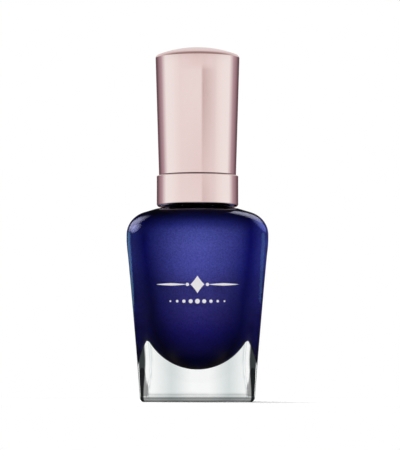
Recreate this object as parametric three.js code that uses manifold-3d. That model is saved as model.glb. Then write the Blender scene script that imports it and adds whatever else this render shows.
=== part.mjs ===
// Nail polish bottle: a thick-based square glass bottle of lacquer, closed by a tall metallised
// screw cap that carries the brush. Millimetres, +Z up. The origin is the middle of the foot, on
// the standing surface.
import * as THREE from "three";
import { mergeVertices } from "three/addons/utils/BufferGeometryUtils.js";
import Module from "manifold-3d";

const wasm = await Module();
wasm.setup();

const TURN = 2 * Math.PI;
const DEGREE = TURN / 360;

// ---- Driving dimensions ----
const FOOT_HALF = 12.3; // half the width of the square foot
const SHOULDER_HALF = 15.4; // half the greatest width, under the shoulder
const SHOULDER_Z = 35; // where the body stops widening
const BEND_Z = 36.2; // where its wall starts to bend over into the shoulder
const SHOULDER_R = 5.5; // bend of the shoulder, seen from any side
const NECK_ROOT_Z = 42.8; // where the shoulder meets the neck
const RIM_Z = 52.6; // the neck's sealing rim
const HEEL = 0.9; // radius of the edge round the foot
const WALL = 1.9; // glass thickness of the body's walls
const CAVITY_FLOOR_Z = 7.4; // lowest point of the round-bottomed cavity
const BOWL_HEIGHT = 10.3; // height over which the cavity opens to its full width
const NECK_R = 5.7;
const BORE_R = 3.5;
const PUNT_R = 8.5; // shallow hollow under the foot
const PUNT_DEPTH = 0.5;

const PITCH = 2.12; // twelve threads to the inch
const THREAD_Z = 45.2; // start of the neck's thread, at its middle
const THREAD_TURNS = 1.5;
const CAP_THREAD_TURNS = 1.25;
const THREAD_DEPTH = 0.7;
const THREAD_GAP = 0.25; // radial play between crest and root

const CAP_BOTTOM_Z = 42.8;
const SEAM_Z = 49.7; // between the collar and the overcap
const CAP_EDGE_Z = 75.6; // where the overcap's side turns into its domed top
const CAP_TOP_Z = 77.95;
const COLLAR_R = 8.97;
const OVERCAP_LOW_R = 8.47;
const OVERCAP_HIGH_R = 9.25;
const INNER_CAP_R = 7.6;
const FIT = 0.1; // gap between pieces that press or slide together

const BRUSH_TIP_Z = 12.6;
const STEM_END_Z = 27;
const BALL_R = 2;

// ---- Helpers ----
const lerp = THREE.MathUtils.lerp;

// A closed solid through rings of equally many points, each a list of [x, y, z], with a fan over each end.
function loft(rings) {
  const n = rings[0].length;
  const middle = (ring) => ring.reduce((sum, p) => sum.map((s, k) => s + p[k] / n), [0, 0, 0]);
  const points = [...rings.flat(), middle(rings[0]), middle(rings.at(-1))];
  const [low, high] = [points.length - 2, points.length - 1];
  const top = (rings.length - 1) * n;
  const index = [];
  for (let j = 0; j < n; j++) {
    const k = (j + 1) % n;
    index.push(low, k, j, high, top + j, top + k);
    for (let i = 0; i < top; i += n) index.push(i + j, i + k, i + n + k, i + j, i + n + k, i + n + j);
  }
  const geometry = new THREE.BufferGeometry();
  geometry.setAttribute("position", new THREE.Float32BufferAttribute(points.flat(), 3));
  return geometry.setIndex(index);
}

// A solid of revolution about Z from its half section, [radius, z] pairs listed up the outside.
function turned(profile, segments = 40) {
  const points = profile.map(([radius, z]) => new THREE.Vector2(radius, z));
  if (points[0].x > 0) points.push(points[0].clone());
  return new THREE.LatheGeometry(points, segments).rotateX(Math.PI / 2);
}

function toSolid(geometry) {
  const bare = geometry.clone();
  bare.deleteAttribute("normal");
  bare.deleteAttribute("uv");
  const merged = mergeVertices(bare, 1e-4);
  const vertProperties = merged.attributes.position.array;
  const triVerts = new Uint32Array(merged.index.array);
  return new wasm.Manifold(new wasm.Mesh({ numProp: 3, vertProperties, triVerts }));
}

function toGeometry(solid) {
  const mesh = solid.getMesh();
  const geometry = new THREE.BufferGeometry();
  geometry.setAttribute("position", new THREE.BufferAttribute(mesh.vertProperties, 3));
  return geometry.setIndex(new THREE.BufferAttribute(mesh.triVerts, 1));
}

const cut = (body, ...tools) =>
  toGeometry(tools.reduce((rest, tool) => rest.subtract(toSolid(tool)), toSolid(body)));
const join = (...bodies) => toGeometry(bodies.map(toSolid).reduce((a, b) => a.add(b)));
const rod = (radius, low, high, segments = 32) =>
  turned([[0, low], [radius, low], [radius, high], [0, high]], segments);

// Points of a quarter round from one radius to another, for the edges of turned pieces.
function quarter(centre, radius, from, steps = 3) {
  const at = (k) => ((from + (90 * k) / steps) * Math.PI) / 180;
  return Array.from({ length: steps + 1 }, (_, k) => [
    centre[0] + radius * Math.cos(at(k)),
    centre[1] + radius * Math.sin(at(k)),
  ]);
}

// ---- Shape of the glass ----
// Directions round a section. They crowd towards the four corners, where a square turns fastest.
const PER_SIDE = 12;
const DIRECTIONS = Array.from({ length: 4 * PER_SIDE }, (_, i) => {
  const fromCorner = ((i % PER_SIDE) / PER_SIDE) * 2 - 1;
  const crowded = Math.sign(fromCorner) * Math.abs(fromCorner) ** 1.4;
  return (Math.floor(i / PER_SIDE) * TURN) / 4 + (TURN / 8) * (1 + crowded);
});

// A level ring: a square of this half width whose corners have this radius.
function roundedSquare(half, corner, z) {
  const flat = half - corner;
  return DIRECTIONS.map((angle) => {
    const [c, s] = [Math.abs(Math.cos(angle)), Math.abs(Math.sin(angle))];
    let reach = half / Math.max(c, s);
    if (reach * Math.min(c, s) > flat) {
      const along = flat * (c + s);
      reach = along + Math.sqrt(along * along - 2 * flat * flat + corner * corner);
    }
    return [reach * Math.cos(angle), reach * Math.sin(angle), z];
  });
}

// A level ring between a circle (power 2) and a square (high powers).
function superellipse(half, power, z) {
  return DIRECTIONS.map((angle) => {
    const [c, s] = [Math.cos(angle), Math.sin(angle)];
    const reach = half / (Math.abs(c) ** power + Math.abs(s) ** power) ** (1 / power);
    return [reach * c, reach * s, z];
  });
}

// The shoulder bends over on an arc that stops this far short of level, then runs up to the neck.
const SHOULDER_SLOPE = 18 * DEGREE;
function shoulderRings(wide, bend, count) {
  return Array.from({ length: count }, (_, i) => {
    const angle = ((i + 1) / count) * (TURN / 4 - SHOULDER_SLOPE);
    return { half: wide - bend * (1 - Math.cos(angle)), z: BEND_Z + bend * Math.sin(angle) };
  });
}

// The walls flare a little more the higher they go.
function wallHalf(z) {
  const share = Math.min(1, z / SHOULDER_Z);
  return lerp(FOOT_HALF, SHOULDER_HALF, share * lerp(0.85, 1, share));
}

// The corners' radius as a share of the half width: crisp at the foot, steady beside the solid base
// and softer on the way up.
function cornerShare(z) {
  const base = lerp(0.09, 0.2, THREE.MathUtils.smoothstep(z, 0, 10));
  const body = 0.06 + 0.45 * Math.min(1, z / SHOULDER_Z) ** 1.35;
  return Math.max(base, body);
}

function outerRings() {
  const rings = [];
  for (let k = 0; k <= 3; k++) {
    const angle = (k * Math.PI) / 6;
    const inset = HEEL * (1 - Math.sin(angle));
    const half = wallHalf(HEEL) - inset;
    const corner = Math.max(0.5, half * cornerShare(0) - inset / 2);
    rings.push(roundedSquare(half, corner, HEEL * (1 - Math.cos(angle))));
  }
  for (let k = 1; k <= 6; k++) {
    const z = lerp(HEEL, SHOULDER_Z, k / 6);
    rings.push(roundedSquare(wallHalf(z), wallHalf(z) * cornerShare(z), z));
  }
  const over = [
    { half: SHOULDER_HALF, z: BEND_Z },
    ...shoulderRings(SHOULDER_HALF, SHOULDER_R, 6),
    { half: COLLAR_R - 0.25, z: CAP_BOTTOM_Z - 0.35 },
    { half: NECK_R, z: NECK_ROOT_Z },
  ];
  for (const { half, z } of over) {
    const roundness = Math.min(1, (SHOULDER_HALF - half) / (SHOULDER_HALF - COLLAR_R + 0.25)) ** 0.8;
    rings.push(roundedSquare(half, half * lerp(cornerShare(SHOULDER_Z), 1, roundness), z));
  }
  return rings;
}

// The cavity starts round at its bowl, grows squarer beside the walls and is round again at the neck.
// What fills it stands in from the glass by a gap.
const SQUAREST = 3.2;
const CAVITY_TOP_Z = 41.6; // where the shoulder's underside meets the bore
function cavityRings(gap = 0) {
  const rings = [];
  const bowl = 7;
  const shrink = (half) => half - gap;
  for (let k = 1; k <= bowl; k++) {
    const angle = (k * Math.PI) / (2 * bowl);
    const z = CAVITY_FLOOR_Z + BOWL_HEIGHT * (1 - Math.cos(angle)) + (k === 1 ? gap / 2 : 0);
    const half = (wallHalf(z) - WALL) * Math.sin(angle);
    rings.push(superellipse(shrink(half), lerp(2, SQUAREST, k / bowl), z));
  }
  for (let k = 1; k <= 3; k++) {
    const z = lerp(CAVITY_FLOOR_Z + BOWL_HEIGHT, BEND_Z, k / 3);
    rings.push(superellipse(shrink(wallHalf(z) - WALL), SQUAREST, z));
  }
  const over = [
    ...shoulderRings(SHOULDER_HALF - WALL, SHOULDER_R - WALL, 5),
    { half: BORE_R, z: CAVITY_TOP_Z },
  ];
  for (const { half, z } of over) {
    const roundness = (SHOULDER_HALF - WALL - half) / (SHOULDER_HALF - WALL - BORE_R);
    rings.push(superellipse(shrink(half), lerp(SQUAREST, 2, roundness), z - gap));
  }
  return rings;
}

// ---- Threads ----
// A helical ridge from the root radius to the crest radius. Its ends sink into the wall over a
// twelfth of a turn.
function threadRidge(root, crest, startZ, turns, rootWidth, crestWidth) {
  const perTurn = 24;
  const steps = Math.round(turns * perTurn);
  const rings = [];
  for (let i = 0; i <= steps; i++) {
    const angle = (i / perTurn) * TURN;
    const z = startZ + (PITCH * i) / perTurn;
    const height = lerp(0.12, 1, Math.min(1, (Math.min(i, steps - i) * 12) / perTurn));
    const tip = lerp(root, crest, height);
    const halfTip = lerp(rootWidth, crestWidth, height) / 2;
    const foot = root - Math.sign(crest - root) * 0.3; // the ridge is rooted inside the wall
    const section = [[foot, -rootWidth / 2], [foot, rootWidth / 2], [tip, halfTip], [tip, -halfTip]];
    if (crest < root) section.reverse();
    rings.push(section.map(([r, dz]) => [r * Math.cos(angle), r * Math.sin(angle), z + dz]));
  }
  return loft(rings);
}

// ---- Pieces ----
function glassBottle() {
  const neck = turned([
    [0, NECK_ROOT_Z - 1],
    [NECK_R, NECK_ROOT_Z - 1],
    [NECK_R, RIM_Z - 0.4],
    [NECK_R - 0.4, RIM_Z],
    [0, RIM_Z],
  ]);
  const punt = turned([
    [0, -1],
    [PUNT_R, -1],
    [PUNT_R, 0],
    [PUNT_R * 0.6, PUNT_DEPTH * 0.7],
    [0, PUNT_DEPTH],
  ]);
  const thread = threadRidge(NECK_R, NECK_R + THREAD_DEPTH, THREAD_Z, THREAD_TURNS, 1.2, 0.5);
  const body = join(loft(outerRings()), neck, thread);
  return cut(body, loft(cavityRings()), rod(BORE_R, CAVITY_TOP_Z - 0.8, RIM_Z + 1), punt);
}

// The lacquer parts round the brush and round the mixing balls' path on the floor of the bowl.
function lacquer() {
  const ballTop = BALL_CENTRE_Z + BALL_R + 0.3;
  const brushWay = rod(TUFT_HALF_WIDTH + 0.35, ballTop - 1, CAVITY_TOP_Z + 1);
  const ballWay = rod(BALL_ORBIT_R + BALL_R + 0.3, 0, ballTop);
  return cut(loft(cavityRings(0.12)), brushWay, ballWay);
}

// The two balls nearly touch at the middle of the bowl and circle it when the bottle is rolled
// between the palms.
const BALL_ORBIT_R = BALL_R + 0.15;
const BALL_CENTRE_Z =
  CAVITY_FLOOR_Z + BOWL_HEIGHT - Math.sqrt((BOWL_HEIGHT - BALL_R - 0.35) ** 2 - BALL_ORBIT_R ** 2);
const mixingBall = () => new THREE.SphereGeometry(BALL_R, 18, 12);

// The washer that the stem's flange presses on the rim.
const LINER = { low: RIM_Z + 0.05, high: RIM_Z + 0.85, inner: 2.4, outer: 6.2 };
const linerWasher = () =>
  turned([
    [LINER.outer, LINER.low],
    [LINER.outer, LINER.high],
    [LINER.inner, LINER.high],
    [LINER.inner, LINER.low],
  ]);

// The stem: a snap head and plug in the inner cap, a sealing flange, and a tapered rod with the
// tuft's socket.
const FLANGE = { low: LINER.high + 0.05, high: LINER.high + 0.95, r: 5.6 };
const WEB = { low: FLANGE.high + 0.05, high: FLANGE.high + 1.45 };
const BOSS_TOP_Z = 61.5;
const PLUG_R = 2.2;
const SOCKET = { r: 1.15, depth: 5 };
function brushStem() {
  const outside = turned(
    [
      [0, STEM_END_Z],
      [1.4, STEM_END_Z],
      [1.5, STEM_END_Z + 0.3],
      [2.05, LINER.low - 2],
      [2.05, FLANGE.low],
      [FLANGE.r, FLANGE.low],
      [FLANGE.r, FLANGE.high],
      [PLUG_R, FLANGE.high],
      [PLUG_R, BOSS_TOP_Z + 0.1],
      [PLUG_R + 0.35, BOSS_TOP_Z + 0.1],
      [PLUG_R + 0.35, BOSS_TOP_Z + 0.5],
      [PLUG_R - 0.6, BOSS_TOP_Z + 1.8],
      [0, BOSS_TOP_Z + 1.8],
    ],
    32,
  );
  return cut(outside, rod(SOCKET.r, STEM_END_Z - 1, STEM_END_Z + SOCKET.depth, 24));
}

// The bristles leave the socket round, spread into a flat oval and end in a rounded tip.
const TUFT_HALF_WIDTH = 2.2;
const TUFT_HALF_DEPTH = 1.45;
const TUFT_ROOT_Z = STEM_END_Z + 3.2;
function bristleTuft() {
  const rootR = SOCKET.r - 0.15;
  const oval = (a, b, z) =>
    Array.from({ length: 24 }, (_, i) => [a * Math.cos((i * TURN) / 24), b * Math.sin((i * TURN) / 24), z]);
  const rings = [];
  for (let k = 1; k <= 5; k++) {
    const angle = (k * Math.PI) / 10;
    const z = BRUSH_TIP_Z + 4 * (1 - Math.cos(angle));
    rings.push(oval(TUFT_HALF_WIDTH * Math.sin(angle), TUFT_HALF_DEPTH * Math.sin(angle), z));
  }
  for (let k = 1; k <= 5; k++) {
    const t = k / 5;
    const ease = t * t * (3 - 2 * t);
    const z = lerp(BRUSH_TIP_Z + 4, STEM_END_Z - 0.4, t);
    rings.push(oval(lerp(TUFT_HALF_WIDTH, rootR, ease), lerp(TUFT_HALF_DEPTH, rootR, ease), z));
  }
  rings.push(oval(rootR, rootR, TUFT_ROOT_Z));
  return loft(rings);
}

// The flat wire that clinches the folded bristles in the socket.
const anchor = () => new THREE.BoxGeometry(1.9, 0.4, 1.3);

// The inner cap: threaded skirt, web with the stem's boss, and the ribbed tube that fills the overcap.
const SKIRT_BORE_R = NECK_R + THREAD_DEPTH + THREAD_GAP;
const INNER_CAP_TOP_Z = 75;
const TUBE_R = 7.2;
function innerCap() {
  const bottom = CAP_BOTTOM_Z + 0.4;
  const shell = turned([
    [SKIRT_BORE_R, bottom],
    [INNER_CAP_R, bottom],
    [INNER_CAP_R, WEB.high],
    [TUBE_R, WEB.high + 0.4],
    [TUBE_R, INNER_CAP_TOP_Z],
    [TUBE_R - 1, INNER_CAP_TOP_Z],
    [TUBE_R - 1, WEB.high],
    [PLUG_R + 1.3, WEB.high],
    [PLUG_R + 1.3, BOSS_TOP_Z],
    [PLUG_R + FIT, BOSS_TOP_Z],
    [PLUG_R + FIT, WEB.low],
    [SKIRT_BORE_R, WEB.low],
  ]);
  const crest = NECK_R + THREAD_GAP;
  const thread = threadRidge(SKIRT_BORE_R, crest, THREAD_Z - PITCH / 2, CAP_THREAD_TURNS, 1, 0.5);
  const across = (z) => {
    const tip = overcapBore(z) - FIT;
    return [[TUBE_R - 0.3, -0.4, z], [tip, -0.4, z], [tip, 0.4, z], [TUBE_R - 0.3, 0.4, z]];
  };
  const rib = loft([across(WEB.high + 1.5), across(INNER_CAP_TOP_Z - 0.8)]);
  const ribs = Array.from({ length: 8 }, (_, i) => rib.clone().rotateZ((i * TURN) / 8));
  return join(shell, thread, ...ribs);
}

// The collar round the skirt.
function collar() {
  const inner = INNER_CAP_R + FIT;
  const high = SEAM_Z - 0.06;
  return turned([
    [inner, CAP_BOTTOM_Z],
    ...quarter([COLLAR_R - 0.7, CAP_BOTTOM_Z + 0.7], 0.7, -90),
    ...quarter([COLLAR_R - 0.45, high - 0.45], 0.45, 0),
    [inner, high],
  ], 48);
}

// The overcap: a sleeve that flares gently to a domed top.
const overcapBore = (z) => INNER_CAP_R + FIT + lerp(0, 0.7, (z - SEAM_Z) / (CAP_EDGE_Z - SEAM_Z));
function overcap() {
  const edge = 0.8;
  const rim = quarter([OVERCAP_HIGH_R - edge, CAP_EDGE_Z], edge, 0, 3).slice(0, 3);
  const [rimR, rimZ] = rim.at(-1);
  const dome = [1, 2, 3, 4].map((k) => [rimR * (1 - k / 4), lerp(rimZ, CAP_TOP_Z, 1 - (1 - k / 4) ** 2)]);
  return turned([
    [0, CAP_EDGE_Z],
    [overcapBore(CAP_EDGE_Z), CAP_EDGE_Z],
    [overcapBore(SEAM_Z), SEAM_Z],
    [OVERCAP_LOW_R - 0.15, SEAM_Z],
    [OVERCAP_LOW_R, SEAM_Z + 0.15],
    ...rim,
    ...dome,
  ], 48);
}

// ---- Assembly ----
const finish = (color, roughness, metalness = 0, extra = {}) =>
  new THREE.MeshStandardMaterial({ color, roughness, metalness, ...extra });
const glass = finish(0xeef3f3, 0.03, 0, { transparent: true, opacity: 0.35 });
const blueLacquer = finish(0x1a1a6e, 0.35, 0.4);
const roseGold = finish(0xe3c4c4, 0.22, 0.9);
const steel = finish(0xc8cace, 0.15, 1);
const blackPlastic = finish(0x141416, 0.4);
const whiteFoam = finish(0xe9e9e4, 0.8);
const bristle = finish(0x23233a, 0.5);

const bottle = new THREE.Group();
function add(name, geometry, material, position = [0, 0, 0]) {
  const mesh = new THREE.Mesh(geometry, material);
  mesh.name = name;
  mesh.position.set(...position);
  bottle.add(mesh);
}

add("glass_bottle", glassBottle(), glass);
add("lacquer", lacquer(), blueLacquer);
add("mixing_ball_1", mixingBall(), steel, [BALL_ORBIT_R, 0, BALL_CENTRE_Z]);
add("mixing_ball_2", mixingBall(), steel, [-BALL_ORBIT_R, 0, BALL_CENTRE_Z]);
add("neck_seal_liner", linerWasher(), whiteFoam);
add("brush_stem", brushStem(), blackPlastic);
add("bristle_tuft", bristleTuft(), bristle);
add("brush_anchor", anchor(), steel, [0, 0, TUFT_ROOT_Z + 0.8]);
add("inner_cap", innerCap(), blackPlastic);
add("cap_collar", collar(), roseGold);
add("overcap", overcap(), roseGold);

export default bottle;
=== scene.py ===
"""Nail polish bottle: visual pieces, materials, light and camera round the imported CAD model."""

import math

import bpy
import numpy as np
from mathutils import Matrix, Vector


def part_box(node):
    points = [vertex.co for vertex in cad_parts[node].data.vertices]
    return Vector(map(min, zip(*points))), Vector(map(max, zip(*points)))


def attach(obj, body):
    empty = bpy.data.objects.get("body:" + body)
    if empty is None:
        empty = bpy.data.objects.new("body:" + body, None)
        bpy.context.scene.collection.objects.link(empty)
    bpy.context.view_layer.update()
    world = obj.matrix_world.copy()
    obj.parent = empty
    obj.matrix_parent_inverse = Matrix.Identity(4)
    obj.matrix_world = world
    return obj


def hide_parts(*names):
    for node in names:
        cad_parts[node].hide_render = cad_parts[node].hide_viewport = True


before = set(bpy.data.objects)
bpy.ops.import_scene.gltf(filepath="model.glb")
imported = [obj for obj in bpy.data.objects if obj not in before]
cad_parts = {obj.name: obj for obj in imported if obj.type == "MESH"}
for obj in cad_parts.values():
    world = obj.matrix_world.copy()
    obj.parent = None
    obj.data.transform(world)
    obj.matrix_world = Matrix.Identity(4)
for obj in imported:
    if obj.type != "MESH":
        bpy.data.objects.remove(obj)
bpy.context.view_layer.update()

MM = 0.001
TURN = 2 * math.pi


def box_mm(node):
    """A CAD node's lowest and highest corners, in millimetres."""
    low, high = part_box(node)
    return np.array(low) / MM, np.array(high) / MM


# ---- Sizes in millimetres, from the CAD nodes ----
GLASS_HIGH = box_mm("glass_bottle")[1]
COLLAR_LOW, COLLAR_HIGH = box_mm("cap_collar")
OVERCAP_LOW, OVERCAP_HIGH = box_mm("overcap")
LINER_LOW, LINER_HIGH = box_mm("neck_seal_liner")
STEM_LOW, STEM_HIGH = box_mm("brush_stem")
TUFT_LOW, TUFT_HIGH = box_mm("bristle_tuft")
INNER_LOW, INNER_HIGH = box_mm("inner_cap")
LACQUER_HIGH = box_mm("lacquer")[1]
ANCHOR_LOW, ANCHOR_HIGH = box_mm("brush_anchor")

# ---- Sizes in millimetres, shared with the CAD shape ----
FOOT_HALF = 12.3
SHOULDER_HALF = GLASS_HIGH[0]
SHOULDER_Z = 35  # where the body stops widening
EASE_Z = 31  # where its flare starts to ease off
STRAIGHT_Z = 36.2  # where its wall starts to bend over into the shoulder
SHOULDER_R = 5.5
SHOULDER_SLOPE = math.radians(18)
UNDER_COLLAR_R = 8.72  # the shoulder's edge under the collar
UNDER_COLLAR_Z = 42.45
NECK_ROOT_Z = 42.8
RIM_Z = GLASS_HIGH[2]
HEEL = 0.9  # radius of the edge round the foot
WALL = 1.9
CAVITY_FLOOR_Z = 7.4
BOWL_HEIGHT = 10.3
SQUAREST = 3.2  # power of the cavity's section beside the walls; 2 is a circle
NECK_R = 5.7
BORE_R = 3.5
PUNT_R = 8.5  # shallow hollow under the foot
PUNT_DEPTH = 0.5
PITCH = 2.12
THREAD_Z = 45.2  # start of the neck's thread, at its middle
THREAD_TURNS = 1.5
THREAD_WIDTHS = (1.2, 0.5)  # at the root and at the crest
CAP_THREAD_TURNS = 1.25
CAP_THREAD_WIDTHS = (1, 0.5)
THREAD_DEPTH = 0.7
THREAD_GAP = 0.25
INNER_CAP_R = 7.6
SLEEVE_R = INNER_CAP_R + 0.1  # bore of the collar and of the overcap's foot
OVERCAP_FLARE = 0.7  # how much the overcap's bore widens on the way up
TUBE_R = 7.2
RIBS = 8
RIB_HALF = 0.55
PLUG_R = 2.2
WEB_LOW_Z = LINER_HIGH[2] + 1
WEB_HIGH_Z = WEB_LOW_Z + 1.4
BOSS_TOP_Z = 61.5
OVERCAP_LOW_R = 8.47
CAP_EDGE_Z = 75.6
SOCKET_R = 1.15
SOCKET_DEPTH = 5

# ---- Sizes in millimetres of the printed ornament on the front ----
STAR_Z = 25.2
DOTS_Z = 21.6
INK_GAP = 0.01
INK_THICKNESS = 0.03


# ---- Mesh helpers ----
def lerp(a, b, t):
    return a + (b - a) * t


def smooth_step(t):
    t = np.clip(t, 0, 1)
    return t * t * (3 - 2 * t)


def piece(name, verts, faces, body, material, replaces=(), sharp=None):
    """A mesh piece from millimetre points, riding on a CAD body."""
    mesh = bpy.data.meshes.new(name)
    mesh.from_pydata([tuple(v) for v in np.asarray(verts) * MM], [], faces)
    mesh.validate()
    mesh.polygons.foreach_set("use_smooth", [True] * len(mesh.polygons))
    if sharp:
        mesh.set_sharp_from_angle(angle=math.radians(sharp))
    mesh.materials.append(material)
    obj = bpy.data.objects.new(name, mesh)
    bpy.context.scene.collection.objects.link(obj)
    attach(obj, body)
    if replaces:
        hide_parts(*replaces)


def skin(rings, loop=False):
    """Points and faces of a closed skin through rings of equally many points, first to last.
    Its ends are closed with fans, or joined to each other."""
    rings = np.asarray(rings, float)
    count, around, _ = rings.shape
    verts = rings.reshape(-1, 3)
    index = np.arange(count * around).reshape(count, around)
    beside = np.roll(index, -1, axis=1)
    faces = []
    for i in range(count if loop else count - 1):
        j = (i + 1) % count
        faces += list(zip(index[i].tolist(), beside[i].tolist(), beside[j].tolist(), index[j].tolist()))
    if not loop:
        first, last = len(verts), len(verts) + 1
        verts = np.vstack([verts, rings[0].mean(0), rings[-1].mean(0)])
        faces += [(first, b, a) for a, b in zip(index[0].tolist(), beside[0].tolist())]
        faces += [(last, a, b) for a, b in zip(index[-1].tolist(), beside[-1].tolist())]
    return verts, faces


def rounded(corners, step=12, hold=0.04, loop=False):
    """A path of (radius, z) points whose corners (radius, z, fillet) are rounded, with a holding
    point just beside each fillet so that the flats stay flat."""
    points = [np.array(c[:2], float) for c in corners]
    fillets = [c[2] if len(c) > 2 else 0 for c in corners]
    path = []
    last = len(points) - 1
    for i, (corner, fillet) in enumerate(zip(points, fillets)):
        if fillet == 0 or (not loop and i in (0, last)):
            path.append(corner)
            continue
        back = points[i - 1] - corner
        ahead = points[(i + 1) % len(points)] - corner
        back_len, ahead_len = np.linalg.norm(back), np.linalg.norm(ahead)
        back, ahead = back / back_len, ahead / ahead_len
        angle = math.acos(np.clip(back @ ahead, -1, 1))
        reach = min(fillet / math.tan(angle / 2), back_len * 0.48, ahead_len * 0.48)
        radius = reach * math.tan(angle / 2)
        centre = corner + (back + ahead) / np.linalg.norm(back + ahead) * radius / math.sin(angle / 2)
        start, end = corner + back * reach, corner + ahead * reach
        sweep = math.pi - angle
        steps = max(3, math.ceil(math.degrees(sweep) / step))
        path.append(start + back * min(hold, (back_len - reach) * 0.3))
        a, b = start - centre, end - centre
        for k in range(steps + 1):
            t = k / steps
            blend = a * math.sin((1 - t) * sweep) + b * math.sin(t * sweep)
            path.append(centre + blend / math.sin(sweep))
        path.append(end + ahead * min(hold, (ahead_len - reach) * 0.3))
    return np.array(path)


def densify(path, longest):
    """The path with extra points where a stretch is longer than this."""
    out = [path[0]]
    for a, b in zip(path[:-1], path[1:]):
        parts = max(1, math.ceil(np.linalg.norm(b - a) / longest))
        out += [lerp(a, b, k / parts) for k in range(1, parts + 1)]
    return np.array(out)


def turned_rings(path, around):
    """Circles round the axis, one for each (radius, z) point."""
    angle = np.arange(around) * TURN / around
    return [np.stack([r * np.cos(angle), r * np.sin(angle), np.full(around, z)], 1) for r, z in path]


# ---- Shape of the glass ----
AROUND = 208
FLAT_ANGLES = np.linspace(-1, 1, AROUND // 4, endpoint=False)
DIRECTIONS = np.concatenate([
    side * TURN / 4 + TURN / 8 * (1 + np.sign(FLAT_ANGLES) * np.abs(FLAT_ANGLES) ** 1.4)
    for side in range(4)
])
COS, SIN = np.cos(DIRECTIONS), np.sin(DIRECTIONS)


def rounded_square(half, corner):
    """Distance from the axis to a square of this half width with this corner radius, all round."""
    flat = half - corner
    c, s = np.abs(COS), np.abs(SIN)
    side = half / np.maximum(c, s)
    along = flat * (c + s)
    bend = along + np.sqrt(np.maximum(along**2 - 2 * flat**2 + corner**2, 0))
    return np.where(side * np.minimum(c, s) > flat, bend, side)


def superellipse(half, power):
    """Distance from the axis to a section between a circle (power 2) and a square, all round."""
    return half / (np.abs(COS) ** power + np.abs(SIN) ** power) ** (1 / power)


def ring(reach, z):
    """A level ring of points at these distances from the axis."""
    return np.stack([reach * COS, reach * SIN, np.full(AROUND, z)], 1)


def wall_half(z):
    """Half the width between the flat sides, which flare upwards and ease off to upright."""
    share = min(1, z / SHOULDER_Z)
    flared = lerp(FOOT_HALF, SHOULDER_HALF, share * lerp(0.85, 1, share))
    ease = smooth_step((z - EASE_Z) / (STRAIGHT_Z - EASE_Z))
    return lerp(flared, SHOULDER_HALF, 0.6 * ease) if z < STRAIGHT_Z else SHOULDER_HALF


def corner_share(z):
    """The corners' radius as a share of the half width: crisp at the foot, softer on the way up."""
    foot = 0.09 + 0.11 * float(smooth_step(z / 10))
    return max(foot, 0.06 + 0.45 * min(1, z / SHOULDER_Z) ** 1.35)


def thread_height(z, start_z, turns, root_width, crest_width):
    """Height of a helical ridge, from 0 to 1, all round at this level."""
    ridge = np.zeros(AROUND)
    for wrap in range(math.ceil(turns)):
        turn = (DIRECTIONS % TURN) / TURN + wrap
        away = np.abs(z - start_z - PITCH * turn)
        height = np.clip((root_width / 2 - away) / (root_width / 2 - crest_width / 2), 0, 1)
        fade = smooth_step(np.minimum(turn, turns - turn) * 10)
        ridge = np.maximum(ridge, smooth_step(height) * fade)
    return ridge


def outside_rings():
    """The glass from the middle of the punt, up the outside to the rim."""
    rings = [ring(superellipse(r, 2), z) for r, z in densify(rounded([
        (0.4, PUNT_DEPTH), (PUNT_R * 0.6, PUNT_DEPTH * 0.7, 3), (PUNT_R, 0, 1.5), (PUNT_R + 1, 0),
    ]), 0.7)]
    for k in range(1, 4):
        half = lerp(PUNT_R + 1, FOOT_HALF - HEEL, k / 4)
        rings.append(ring(lerp(superellipse(half, 2), rounded_square(half, 1), k / 4), 0.0))
    half = wall_half(HEEL)
    for k in range(9):
        angle = k * math.pi / 16
        inset = HEEL * (1 - math.sin(angle))
        corner = max(0.4, half * corner_share(0) - inset / 2)
        rings.append(ring(rounded_square(half - inset, corner), HEEL * (1 - math.cos(angle))))
    for z in np.linspace(HEEL, STRAIGHT_Z, 56)[1:]:
        rings.append(ring(rounded_square(wall_half(z), wall_half(z) * corner_share(z)), z))
    bend = [(SHOULDER_HALF - SHOULDER_R * (1 - math.cos(a)), STRAIGHT_Z + SHOULDER_R * math.sin(a))
            for a in np.linspace(0, TURN / 4 - SHOULDER_SLOPE, 25)[1:]]
    over = rounded([
        bend[-1], (UNDER_COLLAR_R, UNDER_COLLAR_Z, 8), (NECK_R, NECK_ROOT_Z, 0.6), (NECK_R, 44.2),
    ])
    for half, z in bend + [tuple(p) for p in densify(over, 0.35)[1:]]:
        roundness = min(1, max(0, (SHOULDER_HALF - half) / (SHOULDER_HALF - UNDER_COLLAR_R))) ** 0.8
        share = lerp(corner_share(SHOULDER_Z), 1, roundness)
        rings.append(ring(rounded_square(half, half * share), z))
    for z in np.arange(44.25, 49.4, 0.06):
        height = thread_height(z, THREAD_Z, THREAD_TURNS, *THREAD_WIDTHS)
        rings.append(ring(NECK_R + THREAD_DEPTH * height, z))
    rim = rounded([(NECK_R, 49.5), (NECK_R, RIM_Z, 0.45), (BORE_R, RIM_Z, 0.4), (BORE_R, 50)])
    rings += [ring(superellipse(r, 2), z) for r, z in rim]
    return rings


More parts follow.
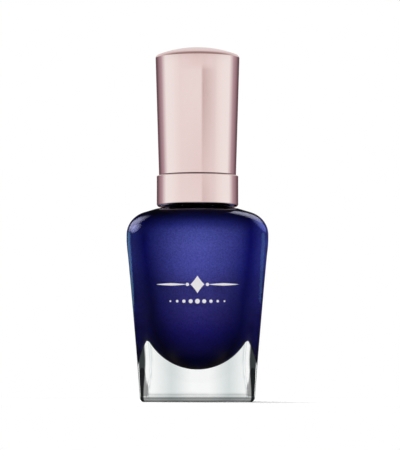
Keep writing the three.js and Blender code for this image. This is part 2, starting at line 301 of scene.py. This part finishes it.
def cavity_rings(grow=0.0, roof=None):
    """The cavity from its floor up to the bore, pushed out into the glass by grow."""
    rings = []
    for k in range(1, 25):
        angle = k * math.pi / 48
        z = CAVITY_FLOOR_Z + BOWL_HEIGHT * (1 - math.cos(angle))
        half = (wall_half(z) - WALL) * math.sin(angle)
        rings.append((half, lerp(2, SQUAREST, k / 24), z - grow * math.cos(angle)))
    for z in np.linspace(CAVITY_FLOOR_Z + BOWL_HEIGHT, STRAIGHT_Z, 24)[1:]:
        rings.append((wall_half(z) - WALL, SQUAREST, z))
    bend = [(SHOULDER_HALF - WALL - (SHOULDER_R - WALL) * (1 - math.cos(a)),
             STRAIGHT_Z + (SHOULDER_R - WALL) * math.sin(a))
            for a in np.linspace(0, TURN / 4 - SHOULDER_SLOPE, 15)[1:]]
    over = rounded([bend[-1], (BORE_R, NECK_ROOT_Z - 1.2, 1.2), (BORE_R, 45)])
    for half, z in bend + [tuple(p) for p in densify(over, 0.5)[1:]]:
        roundness = min(1, (SHOULDER_HALF - WALL - half) / (SHOULDER_HALF - WALL - BORE_R))
        rings.append((half, lerp(SQUAREST, 2, roundness), z))
    return [ring(superellipse(half + grow, power), z) for half, power, z in rings
            if roof is None or z <= roof]


# ---- Materials ----
class Nodes:
    """Builds a node tree by function calls: each method adds a node and returns its output."""

    def __init__(self, tree):
        self.tree = tree

    def set(self, socket, value):
        if isinstance(value, bpy.types.NodeSocket):
            self.tree.links.new(value, socket)
        elif isinstance(value, tuple) and socket.type == "RGBA":
            socket.default_value = (*value, 1)
        else:
            socket.default_value = value

    def math(self, kind, *values):
        node = self.tree.nodes.new("ShaderNodeMath")
        node.operation = kind
        for socket, value in zip(node.inputs, values):
            self.set(socket, value)
        return node.outputs["Value"]

    def split(self, vector):
        node = self.tree.nodes.new("ShaderNodeSeparateXYZ")
        self.set(node.inputs["Vector"], vector)
        return node.outputs["X"], node.outputs["Y"], node.outputs["Z"]

    def ease(self, value, low, high, start=0.0, end=1.0):
        """Goes smoothly from start to end as the value goes from low to high."""
        node = self.tree.nodes.new("ShaderNodeMapRange")
        node.interpolation_type = "SMOOTHSTEP"
        for name, item in zip(("Value", "From Min", "From Max", "To Min", "To Max"),
                              (value, low, high, start, end)):
            self.set(node.inputs[name], item)
        return node.outputs["Result"]

    def facing(self, vector, azimuth, elevation):
        """Cosine between the vector and a direction; azimuth 0 is in front, positive to the right."""
        a, e = math.radians(azimuth), math.radians(elevation)
        node = self.tree.nodes.new("ShaderNodeVectorMath")
        node.operation = "DOT_PRODUCT"
        self.set(node.inputs[0], vector)
        node.inputs[1].default_value = (math.sin(a) * math.cos(e), -math.cos(a) * math.cos(e), math.sin(e))
        return node.outputs["Value"]

    def mix(self, factor, a, b, blend="MIX"):
        node = self.tree.nodes.new("ShaderNodeMix")
        node.data_type = "RGBA"
        node.blend_type = blend
        self.set(node.inputs["Factor"], factor)
        self.set(node.inputs["A"], a)
        self.set(node.inputs["B"], b)
        return node.outputs["Result"]

    def stops(self, value, low, high, stops):
        """A colour ramp whose stops lie between low and high."""
        node = self.tree.nodes.new("ShaderNodeValToRGB")
        elements = node.color_ramp.elements
        elements.remove(elements[0])
        for number, (place, color) in enumerate(stops):
            position = (place - low) / (high - low)
            element = elements[0] if number == 0 else elements.new(position)
            element.position = position
            element.color = (*color, 1)
        self.set(node.inputs["Fac"], value)
        return node.outputs["Color"]

    def levels(self, z, stops):
        """A colour ramp by height, with its stops in millimetres."""
        low, high = stops[0][0], stops[-1][0]
        share = self.math("DIVIDE", self.math("SUBTRACT", z, low * MM), (high - low) * MM)
        return self.stops(share, low, high, stops)

    def ramp(self, value, stops):
        """A colour ramp over -180 to 180 degrees."""
        return self.stops(value, -180, 180, stops)

    def turn_share(self, vector):
        """Azimuth as 0 to 1, with 0.5 in front."""
        x, y, _ = self.split(vector)
        azimuth = self.math("ARCTAN2", x, self.math("MULTIPLY", y, -1.0))
        return self.math("MULTIPLY_ADD", azimuth, 1 / TURN, 0.5)


def new_material(name, color, roughness, metallic=0.0, **sockets):
    """A Principled material with these sockets set, with its tree and its shader."""
    material = bpy.data.materials.new(name)
    material.use_nodes = True
    tree = material.node_tree
    shader = tree.nodes["Principled BSDF"]
    shader.inputs["Base Color"].default_value = (*color, 1)
    shader.inputs["Roughness"].default_value = roughness
    shader.inputs["Metallic"].default_value = metallic
    for socket, value in sockets.items():
        shader.inputs[socket.replace("_", " ")].default_value = value
    return material, tree, shader


def noise(tree, scale, detail=3, stretch=(1, 1, 1)):
    """Noise over the object, in cycles per metre."""
    where = tree.nodes.new("ShaderNodeTexCoord")
    mapping = tree.nodes.new("ShaderNodeMapping")
    mapping.inputs["Scale"].default_value = stretch
    texture = tree.nodes.new("ShaderNodeTexNoise")
    texture.inputs["Scale"].default_value = scale
    texture.inputs["Detail"].default_value = detail
    tree.links.new(where.outputs["Object"], mapping.inputs["Vector"])
    tree.links.new(mapping.outputs["Vector"], texture.inputs["Vector"])
    return texture


def spread(tree, value, low, high):
    """Maps a 0 to 1 value to low to high."""
    node = tree.nodes.new("ShaderNodeMapRange")
    node.inputs["To Min"].default_value = low
    node.inputs["To Max"].default_value = high
    tree.links.new(value, node.inputs["Value"])
    return node.outputs["Result"]


def bump(tree, shader, height, distance, strength):
    """Raises the surface by up to this distance in metres."""
    node = tree.nodes.new("ShaderNodeBump")
    node.inputs["Distance"].default_value = distance
    node.inputs["Strength"].default_value = strength
    tree.links.new(height, node.inputs["Height"])
    tree.links.new(node.outputs["Normal"], shader.inputs["Normal"])


def clear_glass():
    """Clear glass with faint waves, darkened along the edge round the foot as painted shade."""
    pure, edge_shade = (0.98, 0.99, 0.985), (0.07, 0.075, 0.075)
    material, tree, shader = new_material("clear_glass", pure, 0.0, IOR=1.5, Transmission_Weight=1.0)
    nodes = Nodes(tree)
    _, _, z = nodes.split(tree.nodes.new("ShaderNodeTexCoord").outputs["Object"])
    # Painted shade: darkest along the edge round the foot, lighter on the bottom face, clear above.
    foot_shade = nodes.levels(z, [
        (0.0, (0.6, 0.6, 0.6)), (0.35, (0.45, 0.46, 0.46)), (0.6, edge_shade), (0.95, edge_shade),
        (1.2, (0.6, 0.62, 0.62)), (1.7, pure),
    ])
    nodes.set(shader.inputs["Base Color"], foot_shade)
    waves = noise(tree, 140, 2)
    bump(tree, shader, waves.outputs["Fac"], 0.00004, 0.07)
    return material


def blue_lacquer():
    """Deep blue pearl with fine flakes, with painted light and shade: palest in the upper middle of
    each side, near black at the neck, in the bowl and towards the corners."""
    material, tree, shader = new_material(
        "blue_lacquer", (0.05, 0.06, 0.3), 0.35, Specular_IOR_Level=0.05)
    nodes = Nodes(tree)
    where = tree.nodes.new("ShaderNodeTexCoord").outputs["Object"]
    x, y, z = nodes.split(where)
    # Painted light and shade by height: near black in the bowl, palest in the upper middle, near black
    # again at the neck.
    level = nodes.levels(z, [
        (9, (0.001, 0.001, 0.04)), (15, (0.012, 0.009, 0.14)), (19, (0.027, 0.022, 0.19)),
        (26, (0.055, 0.055, 0.3)), (29.5, (0.078, 0.086, 0.42)), (33.5, (0.085, 0.094, 0.43)),
        (36.3, (0.062, 0.072, 0.35)), (37.8, (0.022, 0.027, 0.2)), (39.3, (0.0035, 0.0045, 0.05)),
        (40.4, (0.0006, 0.0006, 0.005)),
    ])
    # Painted light and shade round the sides: lightest in the middle of each side, darker towards the
    # corners.
    quarter = nodes.math("COSINE", nodes.math("MULTIPLY", nodes.math("ARCTAN2", x, y), 4.0))
    middle = nodes.math("POWER", nodes.math("MULTIPLY_ADD", quarter, 0.5, 0.5), 0.65)
    painted_corner_shade = nodes.mix(middle, (0.015, 0.015, 0.23), (1, 1, 1))
    flakes = tree.nodes.new("ShaderNodeTexVoronoi")
    flakes.inputs["Scale"].default_value = 4500
    nodes.set(flakes.inputs["Vector"], where)
    glints = spread(tree, flakes.outputs["Color"], 0.74, 1.26)
    color = nodes.mix(1.0, nodes.mix(1.0, level, painted_corner_shade, "MULTIPLY"), glints, "MULTIPLY")
    nodes.set(shader.inputs["Base Color"], color)
    return material


def rose_gold():
    material, tree, shader = new_material(
        "rose_gold_metallised", (0.86, 0.735, 0.71), 0.1, 1.0, Coat_Weight=0.3, Coat_Roughness=0.03)
    grain = noise(tree, 5000, 3, (1, 1, 0.15))
    tree.links.new(spread(tree, grain.outputs["Fac"], 0.07, 0.15), shader.inputs["Roughness"])
    return material


def black_plastic():
    material, tree, shader = new_material("black_plastic", (0.012, 0.012, 0.014), 0.38)
    grain = noise(tree, 3500, 4)
    tree.links.new(spread(tree, grain.outputs["Fac"], 0.3, 0.48), shader.inputs["Roughness"])
    bump(tree, shader, grain.outputs["Fac"], 0.00002, 0.4)
    return material


def white_foam():
    material, tree, shader = new_material("white_foam", (0.8, 0.8, 0.77), 0.8)
    cells = tree.nodes.new("ShaderNodeTexVoronoi")
    cells.inputs["Scale"].default_value = 4000
    bump(tree, shader, cells.outputs["Distance"], 0.00005, 0.6)
    return material


def polished_steel():
    material, tree, shader = new_material("polished_steel", (0.62, 0.63, 0.65), 0.12, 1.0)
    scuffs = noise(tree, 2500, 5)
    tree.links.new(spread(tree, scuffs.outputs["Fac"], 0.05, 0.22), shader.inputs["Roughness"])
    return material


def wet_bristle():
    material, tree, shader = new_material("wet_bristle", (0.01, 0.01, 0.06), 0.2, Coat_Weight=0.6)
    streaks = noise(tree, 4000, 3, (1, 1, 0.1))
    tree.links.new(spread(tree, streaks.outputs["Fac"], 0.12, 0.35), shader.inputs["Roughness"])
    return material


def white_print():
    material, tree, shader = new_material("white_print", (0.9, 0.9, 0.92), 0.45)
    ink = noise(tree, 6000, 3)
    tree.links.new(spread(tree, ink.outputs["Fac"], 0.35, 0.6), shader.inputs["Roughness"])
    bump(tree, shader, ink.outputs["Fac"], 0.00001, 0.5)
    return material


GLASS = clear_glass()
LACQUER = blue_lacquer()
METAL_CAP = rose_gold()
BLACK = black_plastic()
FOAM = white_foam()
STEEL = polished_steel()
BRISTLE = wet_bristle()
PRINT = white_print()


# ---- Pieces ----
def make_glass():
    inside = cavity_rings()
    verts, faces = skin(outside_rings() + inside[::-1])
    piece("glass_bottle_fine", verts, faces, "bottle", GLASS, ["glass_bottle"])


def make_lacquer():
    """The lacquer, set a hair into the glass so that no air shows, with a dished top."""
    fill_z = LACQUER_HIGH[2] + 0.05
    rings = cavity_rings(0.03, fill_z)
    edge = np.linalg.norm(rings[-1][:, :2], axis=1)
    for share, dip in [(0.97, 0.12), (0.9, 0.2), (0.5, 0.22), (0.05, 0.22)]:
        rings.append(ring(edge * share, fill_z - dip))
    verts, faces = skin(rings)
    piece("lacquer_fill", verts, faces, "bottle", LACQUER, ["lacquer"], 50)


def make_liner():
    inner, outer = 2.4, LINER_HIGH[0]
    low, high = LINER_LOW[2], LINER_HIGH[2]
    corners = [(outer, low), (outer, high), (inner, high), (inner, low)]
    path = rounded([(r, z, 0.12) for r, z in corners], loop=True)
    verts, faces = skin(turned_rings(path, 96), loop=True)
    piece("neck_seal", verts, faces, "neck_seal", FOAM, ["neck_seal_liner"])


def make_stem():
    tip = STEM_LOW[2]
    flange_low = LINER_HIGH[2] + 0.05
    flange_r = STEM_HIGH[0]
    snap = BOSS_TOP_Z + 0.1
    path = rounded([
        (0.05, tip + SOCKET_DEPTH), (SOCKET_R, tip + SOCKET_DEPTH, 0.1), (SOCKET_R, tip, 0.1),
        (1.4, tip, 0.12), (1.5, tip + 0.3, 0.3), (2.05, LINER_LOW[2] - 2, 8), (2.05, flange_low, 0.15),
        (flange_r, flange_low, 0.15), (flange_r, flange_low + 0.9, 0.15), (PLUG_R, flange_low + 0.9, 0.15),
        (PLUG_R, snap, 0.1), (PLUG_R + 0.35, snap, 0.1), (PLUG_R + 0.35, snap + 0.4, 0.15),
        (PLUG_R - 0.6, STEM_HIGH[2], 0.2), (0.05, STEM_HIGH[2]),
    ])
    verts, faces = skin(turned_rings(path, 72))
    piece("brush_stem_fine", verts, faces, "applicator", BLACK, ["brush_stem"])


def make_tuft():
    """Filaments packed in a sunflower pattern: round in the socket, spread to a flat oval, with a
    rounded tip."""
    count, sides, steps = 420, 5, 9
    wide, deep = TUFT_HIGH[0] - 0.06, TUFT_HIGH[1] - 0.06
    low, socket_z = TUFT_LOW[2], TUFT_HIGH[2]
    thick = 0.05
    verts, faces = [], []
    round_angle = np.arange(sides) * TURN / sides
    for i in range(count):
        reach = math.sqrt((i + 0.5) / count)
        turn = i * TURN * 0.381966
        c, s = reach * math.cos(turn), reach * math.sin(turn)
        tip_z = low + 0.02 + 4 * (1 - math.sqrt(max(0, 1 - reach**2))) * 0.9 + 0.25 * ((i * 7) % 5) / 5
        path = []
        for k in range(steps + 1):
            z = lerp(tip_z, socket_z, k / steps)
            ease = float(smooth_step((z - low - 3) / (STEM_LOW[2] - low - 3)))
            path.append((c * lerp(wide, SOCKET_R - 0.2, ease), s * lerp(deep, SOCKET_R - 0.2, ease), z))
        rings = []
        for k, (x, y, z) in enumerate(path):
            r = thick * (0.45 if k == 0 else 1)
            rings.append(np.stack([x + r * np.cos(round_angle), y + r * np.sin(round_angle),
                                   np.full(sides, z)], 1))
        v, f = skin(rings)
        faces += [tuple(a + len(verts) for a in face) for face in f]
        verts += v.tolist()
    piece("bristles", verts, faces, "applicator", BRISTLE, ["bristle_tuft"])


def make_anchor():
    low, high = ANCHOR_LOW, ANCHOR_HIGH
    middle, size = (low + high) / 2, (high - low) / 2
    around = np.arange(48) * TURN / 48
    c, s = np.cos(around), np.sin(around)
    rings = []
    for edge, z in [(0.8, low[2]), (1, low[2] + 0.06), (1, high[2] - 0.06), (0.8, high[2])]:
        x = np.sign(c) * np.abs(c) ** 0.3 * (size[0] - 0.1 * (1 - edge))
        y = np.sign(s) * np.abs(s) ** 0.3 * size[1] * edge
        rings.append(np.stack([x + middle[0], y + middle[1], np.full(48, z)], 1))
    verts, faces = skin(rings)
    piece("anchor_wire", verts, faces, "applicator", STEEL, ["brush_anchor"], 40)


def make_inner_cap():
    """The threaded skirt, the web with the stem's boss, and the tube with its ribs, as one skin."""
    bottom, top = INNER_LOW[2], INNER_HIGH[2]
    bore = NECK_R + THREAD_DEPTH + THREAD_GAP
    threaded_top = 48.4
    outside = densify(rounded([
        (bore, bottom), (INNER_CAP_R, bottom, 0.12), (INNER_CAP_R, WEB_HIGH_Z, 0.1),
        (TUBE_R, WEB_HIGH_Z + 0.4, 0.1), (TUBE_R, top, 0.15), (TUBE_R - 1, top, 0.15),
        (TUBE_R - 1, WEB_HIGH_Z, 0.3), (PLUG_R + 1.3, WEB_HIGH_Z, 0.3), (PLUG_R + 1.3, BOSS_TOP_Z, 0.12),
        (PLUG_R + 0.1, BOSS_TOP_Z, 0.12), (PLUG_R + 0.1, WEB_LOW_Z, 0.12), (bore, WEB_LOW_Z, 0.3),
        (bore, threaded_top + 0.1),
    ]), 1.5)
    rings = []
    for r, z in outside:
        reach = np.full(AROUND, r)
        if TUBE_R - 0.05 < r and WEB_HIGH_Z + 1.5 < z < top - 0.8:
            tip = INNER_CAP_R + OVERCAP_FLARE * (z - COLLAR_HIGH[2]) / (CAP_EDGE_Z - COLLAR_HIGH[2])
            beside = np.abs((DIRECTIONS * RIBS / TURN + 0.5) % 1 - 0.5) * TURN / RIBS * TUBE_R
            reach = r + (tip - r) * smooth_step((RIB_HALF - beside) / 0.25)
        rings.append(ring(reach, z))
    for z in np.arange(threaded_top, bottom + 0.1, -0.07):
        height = thread_height(z, THREAD_Z - PITCH / 2, CAP_THREAD_TURNS, *CAP_THREAD_WIDTHS)
        rings.append(ring(bore - THREAD_DEPTH * height, z))
    verts, faces = skin(rings, loop=True)
    piece("inner_cap_fine", verts, faces, "cap", BLACK, ["inner_cap"])


def make_collar():
    inner, outer = SLEEVE_R, COLLAR_HIGH[0]
    low, high = COLLAR_LOW[2], COLLAR_HIGH[2]
    path = rounded([(inner, low, 0.15), (outer, low, 0.7), (outer, high, 0.22), (inner, high, 0.1)],
                   step=8, loop=True)
    verts, faces = skin(turned_rings(path, 160), loop=True)
    piece("collar_ring", verts, faces, "cap", METAL_CAP, ["cap_collar"])


def make_overcap():
    """The overcap's sleeve, its rounded edge and its dome."""
    outer, top = OVERCAP_HIGH[0], OVERCAP_HIGH[2]
    seam = OVERCAP_LOW[2]
    edge = 0.8
    side = densify(rounded([
        (SLEEVE_R + OVERCAP_FLARE, CAP_EDGE_Z, 0.2), (SLEEVE_R, seam, 0.1), (OVERCAP_LOW_R, seam, 0.15),
        (outer, CAP_EDGE_Z),
    ]), 4)
    bend = [(outer - edge * (1 - math.cos(a)), CAP_EDGE_Z + edge * math.sin(a))
            for a in np.radians(np.arange(6, 61, 6))]
    rim_r, rim_z = bend[-1]
    dome = [(rim_r * (1 - k / 16), lerp(rim_z, top, 1 - (1 - k / 16) ** 2)) for k in range(1, 16)]
    start = [(0.05, CAP_EDGE_Z), (SLEEVE_R + 0.5, CAP_EDGE_Z)]
    path = start + [tuple(p) for p in side] + bend + dome + [(0.05, top)]
    verts, faces = skin(turned_rings(path, 160))
    piece("overcap_sleeve", verts, faces, "cap", METAL_CAP, ["overcap"])


def make_balls():
    around = np.arange(48) * TURN / 48
    for number in (1, 2):
        node = f"mixing_ball_{number}"
        low, high = box_mm(node)
        centre, radius = (low + high) / 2, (high[0] - low[0]) / 2
        rings = []
        for tilt in np.linspace(-TURN / 4, TURN / 4, 33)[1:-1]:
            reach = radius * math.cos(tilt)
            rings.append(np.stack([centre[0] + reach * np.cos(around), centre[1] + reach * np.sin(around),
                                   np.full(48, centre[2] + radius * math.sin(tilt))], 1))
        verts, faces = skin(rings)
        piece(f"steel_ball_{number}", verts, faces, "mixing_balls", STEEL, [node])


def ornament_shapes():
    """Outlines of the printed ornament as (x, z) points, counter-clockwise from the front: a star
    between two tapered rules, over a row of dots that get smaller outwards."""
    def star(x, z, wide, high, power=0.6, points=40):
        angle = np.arange(points) * TURN / points
        c, s = np.cos(angle), np.sin(angle)
        return np.stack([x + wide * np.sign(c) * np.abs(c) ** (2 / power),
                         z + high * np.sign(s) * np.abs(s) ** (2 / power)], 1)

    shapes = [star(0, STAR_Z, 1.5, 1.9, 0.9)]
    for side in (-1, 1):
        shapes.append(star(side * 5.6, STAR_Z, 3.2, 0.26, 1.3))
        shapes.append(star(side * 2.15, STAR_Z, 0.36, 0.36, 2, 16))
    for number in range(-4, 5):
        radius = 0.52 - 0.08 * abs(number)
        shapes.append(star(number * 1.45, DOTS_Z, radius, radius, 2, 20))
    return shapes


def make_ornament():
    """The ornament as a thin film of ink that lies on the sloping front of the glass."""
    verts, faces = [], []
    for outline in ornament_shapes():
        count, first = len(outline), len(verts)
        for lift in (INK_GAP, INK_GAP + INK_THICKNESS):
            verts += [(x, -wall_half(z) - lift, z) for x, z in outline]
        faces.append(tuple(first + k for k in reversed(range(count))))
        faces.append(tuple(first + count + k for k in range(count)))
        for k in range(count):
            after = (k + 1) % count
            faces.append((first + k, first + after, first + count + after, first + count + k))
    piece("front_ornament", verts, faces, "bottle", PRINT, sharp=30)


make_glass()
make_lacquer()
make_liner()
make_stem()
make_tuft()
make_anchor()
make_inner_cap()
make_collar()
make_overcap()
make_balls()
make_ornament()


# ---- Stage, light and camera ----
def seen_straight(nodes, path):
    """1 for rays that reach the eye directly or only through glass."""
    bounced = nodes.math("ADD", path.outputs["Diffuse Depth"], path.outputs["Glossy Depth"])
    straight = nodes.math("LESS_THAN", bounced, 0.5)
    clear = nodes.math("MAXIMUM", path.outputs["Is Camera Ray"], path.outputs["Is Transmission Ray"])
    return nodes.math("MULTIPLY", clear, straight)


def mirrored_in_metal(nodes, path):
    """1 for the first reflection in rough metal, and 0 for reflections in smooth glass."""
    first = nodes.math("LESS_THAN", path.outputs["Glossy Depth"], 1.5)
    rough = nodes.math("SUBTRACT", 1.0, path.outputs["Is Singular Ray"])
    glossy = nodes.math("MULTIPLY", path.outputs["Is Reflection Ray"], path.outputs["Is Glossy Ray"])
    return nodes.math("MULTIPLY", glossy, nodes.math("MULTIPLY", first, rough))


def make_floor():
    """A white floor that keeps a soft shadow near the bottle and fades into the white backdrop.
    The glass reflects it as near black and other bounced light sees it dim grey, both painted shade.
    For the metal it glows with the room's panels, dimmed: a painted reflection."""
    bpy.ops.mesh.primitive_plane_add(size=4)
    floor = bpy.context.object
    floor.name = "floor"
    material = bpy.data.materials.new("pale_floor")
    material.use_nodes = True
    tree = material.node_tree
    tree.nodes.clear()
    nodes = Nodes(tree)
    where = tree.nodes.new("ShaderNodeTexCoord").outputs["Object"]
    x, y, _ = nodes.split(where)
    squares = nodes.math("ADD", nodes.math("POWER", x, 2.0), nodes.math("POWER", y, 2.0))
    distance = nodes.math("SQRT", squares)
    path = tree.nodes.new("ShaderNodeLightPath")
    straight = seen_straight(nodes, path)
    singular = path.outputs["Is Singular Ray"]
    metal = mirrored_in_metal(nodes, path)
    paint = tree.nodes.new("ShaderNodeBsdfDiffuse")
    # Painted shade: near black for the glass, dim grey for other bounced light.
    unseen = nodes.mix(singular, (0.3, 0.27, 0.28), (0.02, 0.02, 0.025))
    nodes.set(paint.inputs["Color"], nodes.mix(straight, unseen, (0.95, 0.95, 0.95)))
    glow = tree.nodes.new("ShaderNodeEmission")
    # Painted reflection: for the metal the floor glows with the room's panels, dimmed.
    panels = nodes.mix(1.0, metal_view(nodes, where, 0.0), (0.8, 0.79, 0.8), "MULTIPLY")
    nodes.set(glow.inputs["Color"], nodes.mix(metal, (1.0, 1.0, 1.0), panels))
    blend = tree.nodes.new("ShaderNodeMixShader")
    fade = nodes.math("MULTIPLY", nodes.ease(distance, 0.04, 0.12), straight)
    nodes.set(blend.inputs["Fac"], nodes.math("MAXIMUM", fade, metal))
    tree.links.new(paint.outputs["BSDF"], blend.inputs[1])
    tree.links.new(glow.outputs["Emission"], blend.inputs[2])
    output = tree.nodes.new("ShaderNodeOutputMaterial")
    tree.links.new(blend.outputs["Shader"], output.inputs["Surface"])
    floor.data.materials.append(material)


def metal_view(nodes, toward, up):
    """What the metallised cap mirrors: one wide panel in front and one on each side, alike on the
    left and right, with a gap right of the middle that is deep for the upper half of the cap and
    faint elsewhere. The room is dark behind the panels and rosy above them."""
    dark, rose, warm, white = (0.15, 0.08, 0.1), (0.5, 0.35, 0.4), (0.95, 0.9, 0.9), (1, 1, 1)
    turn = nodes.turn_share(toward)
    aside = nodes.math("ABSOLUTE", nodes.math("MULTIPLY_ADD", turn, 2.0, -1.0))
    panels = nodes.stops(aside, 0, 180, [
        (0, white), (50, warm), (80, white), (100, white), (120, rose), (150, dark), (180, dark),
    ])
    deep = nodes.ramp(turn, [(10, white), (15, (0.5, 0.35, 0.35)), (60, white)])
    faint = nodes.ramp(turn, [(-60, white), (0, (0.9, 0.8, 0.8)), (60, white)])
    upper_half = nodes.math("MULTIPLY", nodes.ease(up, 0.02, 0.05), nodes.ease(up, 0.06, 0.07, 1.0, 0.0))
    panels = nodes.mix(1.0, panels, nodes.mix(upper_half, faint, deep), "MULTIPLY")
    behind = nodes.ease(nodes.facing(toward, 180, 20), -0.2, 0.9)
    room = nodes.mix(behind, (0.35, 0.25, 0.25), (0.8, 0.7, 0.7))
    return nodes.mix(nodes.ease(up, 0.12, 0.22), panels, room)


def glass_view(nodes, toward):
    """What clear glass mirrors: a dark room with soft windows behind the shoulders and a tall
    blue one beside each edge."""
    view = (0.006, 0.006, 0.008)
    for azimuth, elevation, rim, middle, color in [
        (-113, 27, 0.93, 0.995, (2.2, 2.3, 4.2)),
        (-141, 29, 0.93, 0.995, (1.5, 1.5, 2.2)),
        (164, 34, 0.96, 0.998, (1.1, 1.1, 1.5)),
        (136, 27, 0.93, 0.995, (0.5, 0.6, 1.8)),
        (-138, -3, 0.955, 0.99, (0.26, 0.62, 1.05)),
        (117, -3, 0.965, 0.99, (0.18, 0.43, 0.74)),
    ]:
        window = nodes.ease(nodes.facing(toward, azimuth, elevation), rim, middle)
        view = nodes.mix(1.0, view, nodes.mix(1.0, window, color, "MULTIPLY"), "ADD")
    return view


def card_view(nodes, toward, up):
    """What clear glass lets through: upright white cards round the room, one every 45 degrees, each
    with a faint grey band on either side of its middle. They are dim below their lower edge and
    fade away from the level of the eye."""
    cards = 8.0
    half = 180 / cards
    dark, grey, white = (0.04, 0.046, 0.047), (0.7, 0.75, 0.75), (1, 1, 1)
    share = nodes.math("FRACT", nodes.math("MULTIPLY_ADD", nodes.turn_share(toward), cards, 0.5))
    aside = nodes.math("ABSOLUTE", nodes.math("MULTIPLY_ADD", share, 2.0, -1.0))
    card = nodes.stops(aside, 0, half, [
        (0, white), (0.2, white), (0.6, grey), (1, white), (5, white), (9, dark),
    ])
    away = nodes.math("ABSOLUTE", nodes.math("SUBTRACT", up, 0.06))
    faded = nodes.ease(away, 0.12, 0.4, 1.0, 0.25)
    above_edge = nodes.ease(up, 0.0716, 0.0752, 0.3, 1.0)
    return nodes.mix(1.0, card, nodes.math("MULTIPLY", faded, above_edge), "MULTIPLY")


def lacquer_light(nodes, toward):
    """What lights the lacquer through the glass: a soft key in front and weak side lights."""
    key = nodes.ease(nodes.facing(toward, 25, 12), 0.5, 1.0, 0.06, 6.5)
    left = nodes.ease(nodes.facing(toward, -84, 0), 0.86, 1.0, 0.0, 6.5)
    right = nodes.ease(nodes.facing(toward, 80, 0), 0.9, 1.0, 0.0, 6.5)
    sides = nodes.mix(1.0, nodes.math("ADD", left, right), (0.7, 1.0, 1.1), "MULTIPLY")
    return nodes.mix(1.0, key, sides, "ADD")


def make_world():
    """A white studio: the eye sees white, and every kind of surface has its own view of the room."""
    world = bpy.data.worlds.new("studio")
    bpy.context.scene.world = world
    world.use_nodes = True
    tree = world.node_tree
    tree.nodes.clear()
    nodes = Nodes(tree)
    toward = tree.nodes.new("ShaderNodeTexCoord").outputs["Generated"]
    _, _, up = nodes.split(toward)
    path = tree.nodes.new("ShaderNodeLightPath")
    clear = nodes.math("MULTIPLY", path.outputs["Is Transmission Ray"],
                       nodes.math("LESS_THAN", path.outputs["Diffuse Depth"], 0.5))
    twice = nodes.math("GREATER_THAN", path.outputs["Glossy Depth"], 1.5)
    metal = nodes.mix(twice, metal_view(nodes, toward, up), (0.02, 0.015, 0.02))
    soft = nodes.ease(nodes.facing(toward, -20, 12), -0.2, 1.0, 0.4, 1.7)
    inside = lacquer_light(nodes, toward)
    lit = nodes.mix(path.outputs["Is Singular Ray"], metal, glass_view(nodes, toward))
    lit = nodes.mix(path.outputs["Is Diffuse Ray"], lit, soft)
    lit = nodes.mix(path.outputs["Is Transmission Ray"], lit, inside)
    lit = nodes.mix(clear, lit, card_view(nodes, toward, up))
    final = nodes.mix(path.outputs["Is Camera Ray"], lit, (1.0, 1.0, 1.0))
    background = tree.nodes.new("ShaderNodeBackground")
    output = tree.nodes.new("ShaderNodeOutputWorld")
    tree.links.new(final, background.inputs["Color"])
    tree.links.new(background.outputs["Background"], output.inputs["Surface"])


def make_lamp():
    """A soft square lamp behind and above the bottle, which neither glass nor metal mirrors."""
    azimuth, elevation = math.radians(-162), math.radians(50)
    distance, width, radiance = 0.6, 0.25, 14
    target = Vector((0, 0, 0.035))
    toward = Vector((math.sin(azimuth) * math.cos(elevation),
                     -math.cos(azimuth) * math.cos(elevation),
                     math.sin(elevation)))
    light = bpy.data.lights.new("key_back", "AREA")
    light.shape = "SQUARE"
    light.size = width
    light.energy = radiance * math.pi * width**2
    lamp = bpy.data.objects.new("key_back", light)
    lamp.location = target + distance * toward
    lamp.rotation_euler = (-toward).to_track_quat("-Z", "Y").to_euler()
    lamp.visible_glossy = False
    lamp.visible_transmission = False
    bpy.context.scene.collection.objects.link(lamp)


def make_camera():
    """Level with the foot of the bottle and tilted up to frame it."""
    sensor = 36
    view_height = 0.099
    data = bpy.data.cameras.new("camera")
    camera = bpy.data.objects.new("camera", data)
    bpy.context.scene.collection.objects.link(camera)
    camera.location = (0.00055, -0.6, 0.0035)
    target = Vector((0.00055, 0, 0.0388))
    aim = target - camera.location
    camera.rotation_euler = aim.to_track_quat("-Z", "Y").to_euler()
    data.sensor_width = sensor
    data.lens = sensor * aim.length / view_height
    data.clip_start = 0.01
    bpy.context.scene.camera = camera


make_floor()
make_world()
make_lamp()
make_camera()
bpy.context.scene.view_settings.view_transform = "Standard"
